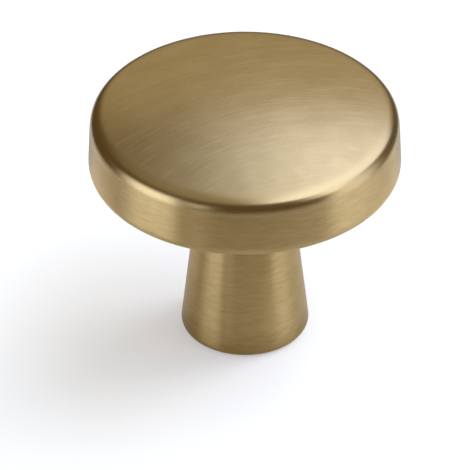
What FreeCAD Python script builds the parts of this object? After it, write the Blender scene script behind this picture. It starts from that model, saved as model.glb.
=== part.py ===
# Round cabinet knob, turned from one piece of brass and fixed by one machine screw from behind.
# Millimetres. The origin is the centre of the base face, and +Z runs out of the cabinet
# along the knob's axis to the middle of the crowned face.

import FreeCAD, Part
import math
import os

# The head, a thick disc with a slightly crowned face. Its diameter is that of the back's
# sharp corner, before the edge is rounded.
overall_height = 27.0
head_diameter = 31.75
head_thickness = 7.85
crown_rise = 1.3
side_draft_deg = 2.4
face_edge_radius = 1.4
back_edge_radius = 1.25

# The shank, which widens evenly from the head to the base
neck_diameter = 8.95
base_diameter = 13.2
neck_fillet_radius = 1.0
base_edge_radius = 0.85

# The blind hole for the fixing screw, at its tapping size, with a countersunk mouth
tapping_diameter = 3.3
tapped_depth = 14.0
mouth_diameter = 5.0
mouth_angle_deg = 90.0
drill_point_angle_deg = 118.0


def point(radius, height):
    """A point of the half section, which lies in the XZ plane."""
    return FreeCAD.Vector(radius, 0, height)


def line(start, end):
    return Part.LineSegment(start, end).toShape()


def crown_arc(rim, top):
    """The face from its rim to its middle: an arc whose centre lies on the knob's axis."""
    rise = top.z - rim.z
    radius = (rim.x ** 2 + rise ** 2) / (2 * rise)
    half_angle = math.asin(rim.x / radius) / 2
    middle = point(radius * math.sin(half_angle), top.z - radius * (1 - math.cos(half_angle)))
    return Part.Arc(rim, middle, top).toShape()


def round_corner(outline, corner, radius):
    """Put a tangent arc between the two edges of the outline that meet at a corner."""
    before = next(i for i, edge in enumerate(outline) if edge.lastVertex().Point.isEqual(corner, 1e-6))
    section_plane = Part.Plane(FreeCAD.Vector(0, 0, 0), FreeCAD.Vector(0, 1, 0))
    fillet = Part.ChFi2d.FilletAlgo(outline[before], outline[before + 1], section_plane)
    fillet.perform(radius)
    arc, first, second = fillet.result(corner)
    outline[before:before + 2] = [first, arc, second]


def make_outline():
    """The knob's half section, from the screw hole's mouth out along the base and up to the face."""
    head_radius = head_diameter / 2
    back_height = overall_height - head_thickness
    rim_height = overall_height - crown_rise
    rim_radius = head_radius - (rim_height - back_height) * math.tan(math.radians(side_draft_deg))
    wall_radius = tapping_diameter / 2
    mouth_radius = mouth_diameter / 2
    mouth_depth = (mouth_radius - wall_radius) / math.tan(math.radians(mouth_angle_deg / 2))
    drill_point_length = wall_radius / math.tan(math.radians(drill_point_angle_deg / 2))

    mouth = point(mouth_radius, 0)
    foot = point(base_diameter / 2, 0)
    neck = point(neck_diameter / 2, back_height)
    back_edge = point(head_radius, back_height)
    rim = point(rim_radius, rim_height)
    top = point(0, overall_height)
    drill_point = point(0, tapped_depth + drill_point_length)
    wall_end = point(wall_radius, tapped_depth)
    wall_start = point(wall_radius, mouth_depth)
    outline = [
        line(mouth, foot),
        line(foot, neck),
        line(neck, back_edge),
        line(back_edge, rim),
        crown_arc(rim, top),
        line(top, drill_point),
        line(drill_point, wall_end),
        line(wall_end, wall_start),
        line(wall_start, mouth),
    ]
    round_corner(outline, foot, base_edge_radius)
    round_corner(outline, neck, neck_fillet_radius)
    round_corner(outline, back_edge, back_edge_radius)
    round_corner(outline, rim, face_edge_radius)
    return outline


def make_knob():
    """One solid: the half section turned once about the knob's axis."""
    section = Part.Face(Part.Wire(make_outline()))
    return section.revolve(FreeCAD.Vector(0, 0, 0), FreeCAD.Vector(0, 0, 1), 360)


os.makedirs("parts", exist_ok=True)
knob = make_knob()
knob.exportStep("parts/knob.step")
print("knob volume in cubic millimetres:", round(knob.Volume, 1))
print("knob box:", knob.BoundBox)
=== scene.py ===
# Round cabinet knob in brushed satin brass, standing on its base on a white studio floor.

import math
import bmesh
import bpy
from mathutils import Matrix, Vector


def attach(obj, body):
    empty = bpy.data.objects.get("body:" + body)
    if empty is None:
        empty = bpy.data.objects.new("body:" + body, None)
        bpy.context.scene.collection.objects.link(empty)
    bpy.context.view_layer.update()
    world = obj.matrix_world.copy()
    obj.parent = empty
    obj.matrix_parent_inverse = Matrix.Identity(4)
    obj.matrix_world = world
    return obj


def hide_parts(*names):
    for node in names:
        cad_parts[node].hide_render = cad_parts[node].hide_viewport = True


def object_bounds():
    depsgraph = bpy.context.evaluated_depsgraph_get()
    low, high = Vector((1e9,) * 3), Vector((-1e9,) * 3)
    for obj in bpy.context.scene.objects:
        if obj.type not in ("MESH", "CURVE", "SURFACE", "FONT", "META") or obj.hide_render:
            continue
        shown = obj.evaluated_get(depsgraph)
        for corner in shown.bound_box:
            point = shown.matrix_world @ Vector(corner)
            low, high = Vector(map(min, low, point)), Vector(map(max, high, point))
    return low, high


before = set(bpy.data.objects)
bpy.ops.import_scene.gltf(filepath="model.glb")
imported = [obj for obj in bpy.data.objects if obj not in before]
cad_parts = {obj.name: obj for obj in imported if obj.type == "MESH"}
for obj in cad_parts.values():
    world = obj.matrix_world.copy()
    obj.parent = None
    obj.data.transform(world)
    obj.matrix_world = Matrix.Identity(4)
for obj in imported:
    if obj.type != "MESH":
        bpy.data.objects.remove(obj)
cad_low, cad_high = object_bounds()

# The knob is one turned piece of brass: a thick disc with a slightly crowned face, on a shank
# that widens to a plain foot. It is drawn here ring by ring, from the mouth of the hole in its
# foot up to the middle of the face, and its corners are then rounded.
MM = 0.001
POINTS_AROUND = 256
FACE_RINGS = 24
SIDE_DRAFT = 2.4
crown_rise = 1.3 * MM
outer_face_ring = 13.7 * MM

face_height = cad_high.z
head_radius = 15.875 * MM
back_height = face_height - 7.85 * MM
rim_height = face_height - crown_rise
rim_radius = head_radius - (rim_height - back_height) * math.tan(math.radians(SIDE_DRAFT))
crown_radius = (rim_radius ** 2 + crown_rise ** 2) / (2 * crown_rise)
neck_radius = 4.475 * MM
base_radius = 6.6 * MM
mouth_radius = 2.5 * MM
wall_radius = 1.65 * MM
mouth_depth = mouth_radius - wall_radius
wall_end = 14.0 * MM
drill_point = wall_end + wall_radius / math.tan(math.radians(118.0 / 2))
face_slope = math.degrees(math.asin(rim_radius / crown_radius))
shank_slope = math.degrees(math.atan((base_radius - neck_radius) / back_height))


def turn_ring(ring, radius, height):
    """Extrude the selected ring of edges to a new radius and height."""
    old_radius, old_height = ring
    bpy.ops.mesh.extrude_edges_move(TRANSFORM_OT_translate={"value": (0, 0, height - old_height)})
    scale = radius / old_radius
    bpy.ops.transform.resize(value=(scale, scale, 1), center_override=(0, 0, height))
    return radius, height


def close_ring(ring, height):
    """Draw the selected ring of edges in to one point on the axis."""
    bpy.ops.mesh.extrude_edges_move(TRANSFORM_OT_translate={"value": (0, 0, height - ring[1])})
    bpy.ops.mesh.merge(type="CENTER")


def select_ring(mesh, radius, height, tolerance=0.02 * MM):
    """Select the edges that run round the knob at one radius and height, and nothing else."""
    edit = bmesh.from_edit_mesh(mesh)
    for kind in (edit.verts, edit.edges, edit.faces):
        for element in kind:
            element.select = False
    for edge in edit.edges:
        if all(
            abs(math.hypot(vert.co.x, vert.co.y) - radius) < tolerance
            and abs(vert.co.z - height) < tolerance
            for vert in edge.verts
        ):
            edge.select = True
    bmesh.update_edit_mesh(mesh)


def round_ring(mesh, radius, height, corner_radius, turn_deg, segments, softness=1.0):
    """Round the corner that runs round the knob there, given how far the section turns at it.

    A softness above 1 lengthens the curve by that factor and keeps the depth of its middle.
    """
    select_ring(mesh, radius, height)
    tangent_length = corner_radius * math.tan(math.radians(turn_deg) / 2) * softness
    fullness = (1 - (1 - math.sqrt(0.5)) / softness) ** 2
    bpy.ops.mesh.bevel(
        offset=tangent_length, segments=segments, profile=fullness, affect="EDGES", clamp_overlap=False
    )


bpy.ops.object.select_all(action="DESELECT")
bpy.ops.mesh.primitive_circle_add(vertices=POINTS_AROUND, radius=mouth_radius, fill_type="NOTHING")
knob = bpy.context.object
knob.name = "turned_knob"
bpy.ops.object.mode_set(mode="EDIT")
bpy.ops.mesh.select_all(action="SELECT")
ring = (mouth_radius, 0.0)
ring = turn_ring(ring, base_radius, 0.0)
ring = turn_ring(ring, neck_radius, back_height)
ring = turn_ring(ring, head_radius, back_height)
ring = turn_ring(ring, rim_radius, rim_height)
for step in range(FACE_RINGS):
    ring_radius = outer_face_ring * (1 - step / FACE_RINGS)
    ring_height = face_height - crown_radius + math.sqrt(crown_radius ** 2 - ring_radius ** 2)
    ring = turn_ring(ring, ring_radius, ring_height)
close_ring(ring, face_height)

# The hole is drilled up from the base, with a countersunk mouth and the drill's point at its end.
select_ring(knob.data, mouth_radius, 0.0)
ring = (mouth_radius, 0.0)
ring = turn_ring(ring, wall_radius, mouth_depth)
ring = turn_ring(ring, wall_radius, wall_end)
close_ring(ring, drill_point)

# The four corners are rounded. The rim of the face has no sharp start, so its curve is longer.
round_ring(knob.data, base_radius, 0.0, 0.85 * MM, turn_deg=90 + shank_slope, segments=10)
round_ring(knob.data, neck_radius, back_height, 1.0 * MM, turn_deg=90 + shank_slope, segments=10)
round_ring(knob.data, head_radius, back_height, 1.25 * MM, turn_deg=90 + SIDE_DRAFT, segments=12)
round_ring(
    knob.data,
    rim_radius,
    rim_height,
    1.4 * MM,
    turn_deg=90 - SIDE_DRAFT - face_slope,
    segments=18,
    softness=1.5,
)
bpy.ops.mesh.select_all(action="SELECT")
bpy.ops.mesh.remove_doubles(threshold=0.001 * MM)
bpy.ops.mesh.normals_make_consistent(inside=False)
bpy.ops.object.mode_set(mode="OBJECT")

# The M4 thread of the hole. A rib with the groove's section is wound up the hole and cut out of
# the wall, whose tapping size stays as the thread's crests.
THREAD_PITCH = 0.7 * MM
THREAD_TURNS = 19
STEPS_PER_TURN = 48
thread_start = -0.4 * MM
rib_inside = 1.52 * MM
rib_outside = 2.02 * MM
narrow = THREAD_PITCH / 16
wide = narrow + (rib_outside - rib_inside) * math.tan(math.radians(60 / 2))
bpy.ops.object.select_all(action="DESELECT")
bpy.ops.mesh.primitive_plane_add(size=1.0)
rib = bpy.context.object
section = ((rib_inside, -wide), (rib_outside, -narrow), (rib_inside, wide), (rib_outside, narrow))
for corner, (radius, height) in zip(rib.data.vertices, section):
    corner.co = (radius, 0, thread_start + height)
bpy.ops.object.mode_set(mode="EDIT")
bpy.ops.mesh.select_all(action="SELECT")
bpy.ops.mesh.delete(type="ONLY_FACE")
bpy.ops.object.mode_set(mode="OBJECT")
bpy.ops.object.modifier_add(type="SCREW")
winding = rib.modifiers[-1]
winding.screw_offset = THREAD_PITCH
winding.iterations = THREAD_TURNS
winding.steps = STEPS_PER_TURN
winding.render_steps = STEPS_PER_TURN
bpy.ops.object.modifier_apply(modifier=winding.name)
bpy.ops.object.mode_set(mode="EDIT")
bpy.ops.mesh.select_all(action="SELECT")
bpy.ops.mesh.remove_doubles(threshold=0.001 * MM)
bpy.ops.mesh.fill_holes(sides=4)
bpy.ops.mesh.normals_make_consistent(inside=False)
bpy.ops.object.mode_set(mode="OBJECT")
bpy.ops.object.select_all(action="DESELECT")
knob.select_set(True)
bpy.context.view_layer.objects.active = knob
bpy.ops.object.modifier_add(type="BOOLEAN")
thread_cut = knob.modifiers[-1]
thread_cut.operation = "DIFFERENCE"
thread_cut.solver = "EXACT"
thread_cut.object = rib
bpy.ops.object.modifier_apply(modifier=thread_cut.name)
bpy.data.objects.remove(rib)
bpy.ops.object.shade_smooth_by_angle(angle=math.radians(30))
bpy.ops.object.modifier_add(type="WEIGHTED_NORMAL")
knob.modifiers[-1].keep_sharp = True
bpy.ops.object.modifier_apply(modifier=knob.modifiers[-1].name)
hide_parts("knob")
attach(knob, "root")

# The finish is satin brass. The face was brushed by hand in wide shallow arcs, while the side, the
# back and the shank were brushed on the lathe. Their fine streaks run round the knob and blur a
# reflection along its axis only.
brass = bpy.data.materials.new("brushed_satin_brass")
brass.use_nodes = True
metal_tree = brass.node_tree
metal_tree.nodes.clear()


class Field:
    """A value that varies over a surface. Arithmetic on it adds Math nodes to the material."""

    def __init__(self, tree, socket):
        self.tree = tree
        self.socket = socket

    def node(self, kind, settings, inputs, output=0):
        """Any other node, with its settings set before the values or links of its sockets."""
        made = self.tree.nodes.new(kind)
        for name, value in settings.items():
            setattr(made, name, value)
        for name, value in inputs.items():
            if isinstance(value, Field):
                self.tree.links.new(value.socket, made.inputs[name])
            else:
                made.inputs[name].default_value = value
        return None if output is None else Field(self.tree, made.outputs[output])

    def math(self, operation, *values):
        return self.node("ShaderNodeMath", {"operation": operation}, dict(enumerate(values)))

    def __add__(self, other):
        return self.math("ADD", self, other)

    def __radd__(self, other):
        return self.math("ADD", other, self)

    def __sub__(self, other):
        return self.math("SUBTRACT", self, other)

    def __rsub__(self, other):
        return self.math("SUBTRACT", other, self)

    def __mul__(self, other):
        return self.math("MULTIPLY", self, other)

    def __rmul__(self, other):
        return self.math("MULTIPLY", other, self)


def coordinate(vector, axis):
    """One coordinate of a position or a direction."""
    return vector.node("ShaderNodeSeparateXYZ", {}, {"Vector": vector}, axis)


def distance(first, second):
    """How far a point is from the origin of two coordinates."""
    return first.math("SQRT", first * first + second * second)


def smooth_step(value, start, end):
    """Rise smoothly from 0 to 1 while the value goes from start to end."""
    return value.node(
        "ShaderNodeMapRange",
        {"interpolation_type": "SMOOTHSTEP"},
        {"Value": value, "From Min": start, "From Max": end},
        "Result",
    )


def blend(share, first, second):
    """A colour between two others."""
    return share.node("ShaderNodeMix", {"data_type": "RGBA"}, {"Factor": share, 6: first, 7: second}, 2)


def grain(first, second, third):
    """Noise about 0, roughly from -0.5 to 0.5, on three coordinates counted in grains."""
    spot = first.node("ShaderNodeCombineXYZ", {}, {"X": first, "Y": second, "Z": third})
    return first.node("ShaderNodeTexNoise", {}, {"Vector": spot, "Scale": 1.0, "Detail": 2.0}) - 0.5


def scratches(height, depth):
    """A normal that follows fine scratches, given how deep they are."""
    return height.node("ShaderNodeBump", {}, {"Strength": 1.0, "Distance": depth, "Height": height})


place = Field(metal_tree, metal_tree.nodes.new("ShaderNodeTexCoord").outputs["Object"])
across = coordinate(place, "X")
along = coordinate(place, "Y")
height = coordinate(place, "Z")
crown_share = smooth_step(height, start=25.75 * MM, end=26.1 * MM)
face_share = smooth_step(height, start=23.9 * MM, end=25.0 * MM)

# Strokes of the hand brush on the face: arcs round a point in front of the knob and to its right
STROKE_CENTRE = (11.1 * MM, -30.1 * MM)
DARK_FACE = (0.250, 0.172, 0.070, 1)
PALE_FACE = (0.420, 0.322, 0.158, 1)
sideways = across - STROKE_CENTRE[0]
forwards = along - STROKE_CENTRE[1]
reach = distance(sideways, forwards)
turn = place.math("ARCTAN2", forwards, sideways)
fine_stroke = grain(reach * (1 / (0.11 * MM)), turn * 6.0, 0.0)
broad_stroke = grain(reach * (1 / (0.40 * MM)), turn * 4.0, 7.0)
cloud = grain(reach * (1 / (2.2 * MM)), turn * 8.0, 13.0)
face_shade = 0.5 + (fine_stroke * 0.42 + broad_stroke * 0.30 + cloud * 0.55) * crown_share
face_metal = place.node(
    "ShaderNodeBsdfPrincipled",
    {},
    {
        "Base Color": blend(face_shade, DARK_FACE, PALE_FACE),
        "Metallic": 1.0,
        "Roughness": 0.27 + broad_stroke * crown_share * 0.05,
        "Specular Tint": (0.82, 0.82, 0.82, 1),
        "Normal": scratches((fine_stroke + broad_stroke) * crown_share, 0.0012 * MM),
    },
)

# Streaks on the side, the back and the shank: the path along the section is counted as radius
# plus height. The brass is painted darker towards the foot, as painted shade where it meets the floor.
DARK_TURNED = (0.262, 0.172, 0.062, 1)
PALE_TURNED = (0.436, 0.322, 0.144, 1)
section_path = distance(across, along) + height
fine_streak = grain(across * (0.75 / MM), along * (0.75 / MM), section_path * (5.0 / MM))
broad_streak = grain(across * (0.34 / MM), along * (0.34 / MM), section_path * (2.6 / MM))
# Painted shade: the base colour darkens all round over the lowest 3.5 mm of the foot.
foot_painted_shade = (1 - smooth_step(height, start=0.0, end=3.5 * MM)) * 0.48
turned_shade = 0.5 - foot_painted_shade + fine_streak * 0.80 + broad_streak * 0.45
turned_metal = place.node(
    "ShaderNodeBsdfPrincipled",
    {},
    {
        "Base Color": blend(turned_shade, DARK_TURNED, PALE_TURNED),
        "Metallic": 1.0,
        "Roughness": 0.38 + fine_streak * 0.10,
        "Anisotropic": 0.9,
        "Anisotropic Rotation": 0.25,
        "Normal": scratches(fine_streak + broad_streak, 0.004 * MM),
    },
)
metal = place.node("ShaderNodeMixShader", {}, {"Fac": face_share, 1: turned_metal, 2: face_metal})
metal.node("ShaderNodeOutputMaterial", {}, {"Surface": metal}, None)
knob.data.materials.append(brass)

# The floor is a sheet of matt white studio paper that runs out of the picture on all sides. The
# knob's shadow falls on it. A part of its white is added for the eye and for reflections alone.
PAPER_LIFT = 0.38
bpy.ops.object.select_all(action="DESELECT")
bpy.ops.mesh.primitive_plane_add(size=8.0)
floor = bpy.context.object
floor.name = "paper_floor"
paper = bpy.data.materials.new("white_paper")
paper.use_nodes = True
paper_tree = paper.node_tree
paper_shader = paper_tree.nodes["Principled BSDF"]
paper_shader.inputs["Base Color"].default_value = (0.90, 0.88, 0.72, 1)
paper_shader.inputs["Roughness"].default_value = 1.0
paper_shader.inputs["Specular IOR Level"].default_value = 0.0
plain = Field(paper_tree, paper_shader.outputs["BSDF"])
seen = plain.node("ShaderNodeLightPath", {}, {}, "Is Camera Ray")
for ray in ("Is Glossy Ray", "Is Transmission Ray"):
    seen = seen.math("MAXIMUM", seen, plain.node("ShaderNodeLightPath", {}, {}, ray))
white = plain.node("ShaderNodeEmission", {}, {"Color": (1, 1, 1, 1), "Strength": 1.0})
lifted = plain.node("ShaderNodeMixShader", {}, {"Fac": seen * PAPER_LIFT, 1: plain, 2: white})
paper_tree.links.new(lifted.socket, paper_tree.nodes["Material Output"].inputs["Surface"])
floor.data.materials.append(paper)

# A dark brown cloth lies on the paper outside the picture, as in a photo studio, so that the side
# and the rounded edge of the head have something dark to reflect. Only the metal sees it, and it
# comes nearer at the front than at the back.
BACK_SHARE = 0.35
bpy.ops.object.select_all(action="DESELECT")
bpy.ops.mesh.primitive_plane_add(size=8.0, location=(0, 0, 0.2 * MM))
bpy.ops.object.transform_apply(location=True, rotation=False, scale=False)
cloth = bpy.context.object
cloth.name = "dark_cloth"
cloth.visible_camera = False
cloth.visible_diffuse = False
cloth.visible_shadow = False
brown = bpy.data.materials.new("dark_cloth_with_soft_edge")
brown.use_nodes = True
cloth_tree = brown.node_tree
cloth_tree.nodes.clear()
spot = Field(cloth_tree, cloth_tree.nodes.new("ShaderNodeTexCoord").outputs["Object"])
behind = coordinate(spot, "Y")
away = distance(coordinate(spot, "X"), spot.math("MAXIMUM", 0 - behind, behind * BACK_SHARE))
bare = spot.node("ShaderNodeBsdfTransparent", {}, {})
dark = spot.node("ShaderNodeBsdfDiffuse", {}, {"Color": (0.17, 0.115, 0.055, 1)})
cover = smooth_step(away, start=53 * MM, end=82 * MM)
laid = spot.node("ShaderNodeMixShader", {}, {"Fac": cover, 1: bare, 2: dark})
laid.node("ShaderNodeOutputMaterial", {}, {"Surface": laid}, None)
cloth.data.materials.append(brown)

# The main light hangs over the knob, to the right of it. The face reflects it most at its front
# right, and less towards the light's soft left edge. A dimmer wall stands behind.
EVEN_FADE = ((0.2, 0.2), (0.2, 0.2))
LAMP_WHITE = (0.90, 1.0, 1.28)


def softbox(name, place, aim, size, radiance, fade=EVEN_FADE, colour=LAMP_WHITE):
    """A rectangular soft light, given the brightness of its middle.

    The fade is the share of its width, and of its height, over which it gets darker at each end.
    """
    width, height = size
    bpy.ops.object.light_add(type="AREA", location=place)
    lamp = bpy.context.object
    lamp.name = name
    lamp.rotation_euler = (Vector(aim) - Vector(place)).to_track_quat("-Z", "Y").to_euler()
    lamp.data.shape = "RECTANGLE"
    lamp.data.size = width
    lamp.data.size_y = height
    lamp.data.energy = radiance * width * height * math.pi
    lamp.data.color = colour
    lamp.visible_camera = False
    lamp.data.use_nodes = True
    tree = lamp.data.node_tree
    surface = Field(tree, tree.nodes.new("ShaderNodeNewGeometry").outputs["Parametric"])
    strength = 1.0
    for axis, (low_fade, high_fade) in zip("XY", fade):
        way = coordinate(surface, axis)
        strength = strength * smooth_step(way, 0.0, low_fade) * smooth_step(1 - way, 0.0, high_fade)
    tree.links.new(strength.socket, tree.nodes["Emission"].inputs["Strength"])
    return lamp


overhead = softbox(
    "overhead_box",
    place=(0.73, 0.30, 1.00),
    aim=(0.73, 0.30, 0.0),
    size=(1.64, 2.10),
    radiance=2.88,
    fade=((0.22, 0.01), (0.01, 0.01)),
    colour=(0.85, 1.0, 1.50),
)
overhead.rotation_euler.z += math.radians(7.0)
softbox(
    "back_wall",
    place=(0.09, 1.60, 0.75),
    aim=(0.09, 0.0, 0.75),
    size=(1.62, 1.14),
    radiance=0.66,
    colour=(1.05, 1.0, 0.82),
)

# Small lights close to the knob, which only its metal reflects: a strip on each side, for the two
# bright bands on the side and the shank, a card in front of each strip, for the rounded rim, and a
# warm card on the floor beside each strip.
close_lights = [
    softbox(
        "left_strip",
        place=(-53.5 * MM, -25.0 * MM, 28.0 * MM),
        aim=(0, 0, 28.0 * MM),
        size=(56.0 * MM, 54.0 * MM),
        radiance=3.15,
        fade=((0.5, 0.15), (0.02, 0.55)),
    ),
    softbox(
        "right_strip",
        place=(56.7 * MM, -14.0 * MM, 30.0 * MM),
        aim=(0, 0, 30.0 * MM),
        size=(58.0 * MM, 58.0 * MM),
        radiance=2.1,
        fade=((0.2, 0.5), (0.02, 0.2)),
    ),
    softbox(
        "front_left_card",
        place=(-35.0 * MM, -62.0 * MM, 26.0 * MM),
        aim=(0, 0, 26.0 * MM),
        size=(26.0 * MM, 46.0 * MM),
        radiance=1.3,
        fade=((0.4, 0.4), (0.3, 0.4)),
    ),
    softbox(
        "front_right_card",
        place=(52.0 * MM, -41.0 * MM, 49.0 * MM),
        aim=(0, 0, 26.0 * MM),
        size=(44.0 * MM, 34.0 * MM),
        radiance=2.3,
        fade=((0.45, 0.45), (0.45, 0.45)),
    ),
]
for side in (-1, 1):
    floor_card = softbox(
        "floor_card",
        place=(side * 34.0 * MM, 14.0 * MM, 1.0 * MM),
        aim=(side * 34.0 * MM, 14.0 * MM, 50.0 * MM),
        size=(24.0 * MM, 36.0 * MM),
        radiance=1.4,
        fade=((0.35, 0.35), (0.35, 0.35)),
        colour=(1.05, 0.95, 0.70),
    )
    close_lights.append(floor_card)
for lamp in close_lights:
    lamp.visible_diffuse = False

# Two panels light the paper alone. The low one, to the right and behind, casts the shadow that
# runs to the left and forwards, and the other keeps that shadow a pale grey.
key_panel = softbox(
    "key_panel",
    place=(0.84, 0.47, 0.40),
    aim=(0, 0, 0),
    size=(0.70, 0.70),
    radiance=6.9,
    colour=(0.97, 1.0, 1.30),
)
fill_panel = softbox(
    "fill_panel",
    place=(-0.80, -0.50, 0.60),
    aim=(0, 0, 0),
    size=(1.0, 1.0),
    radiance=1.05,
    colour=(0.82, 1.0, 2.20),
)
for lamp in (key_panel, fill_panel):
    lamp.visible_glossy = False

# The room round the lights is a dim warm brown, with a paler ceiling.
ROOM_BROWN = (0.235, 0.17, 0.080, 1)
CEILING_PALE = (0.63, 0.60, 0.48, 1)
world = bpy.data.worlds.new("studio_room")
world.use_nodes = True
room = world.node_tree
direction = Field(room, room.nodes.new("ShaderNodeTexCoord").outputs["Generated"])
ceiling = smooth_step(coordinate(direction, "Z"), start=0.55, end=0.95)
room.links.new(blend(ceiling, ROOM_BROWN, CEILING_PALE).socket, room.nodes["Background"].inputs["Color"])
room.nodes["Background"].inputs["Strength"].default_value = 1.0
bpy.context.scene.world = world
bpy.context.scene.view_settings.view_transform = "Standard"

# The camera is a long lens, 0.79 m away and 35.7 degrees above the knob. It is rolled by a
# hair, as the photograph is.
CAMERA_DISTANCE = 0.7913
CAMERA_PITCH = math.radians(35.672)
CAMERA_ROLL = math.radians(-0.132)
aim = Vector((-1.008 * MM, 0, 10.80 * MM))
bpy.ops.object.camera_add(
    location=aim + CAMERA_DISTANCE * Vector((0, -math.cos(CAMERA_PITCH), math.sin(CAMERA_PITCH)))
)
camera = bpy.context.object
camera.rotation_mode = "ZXY"
camera.rotation_euler = (math.pi / 2 - CAMERA_PITCH, 0, CAMERA_ROLL)
camera.data.lens = 595.3
camera.data.sensor_width = 36.0
bpy.context.scene.camera = camera
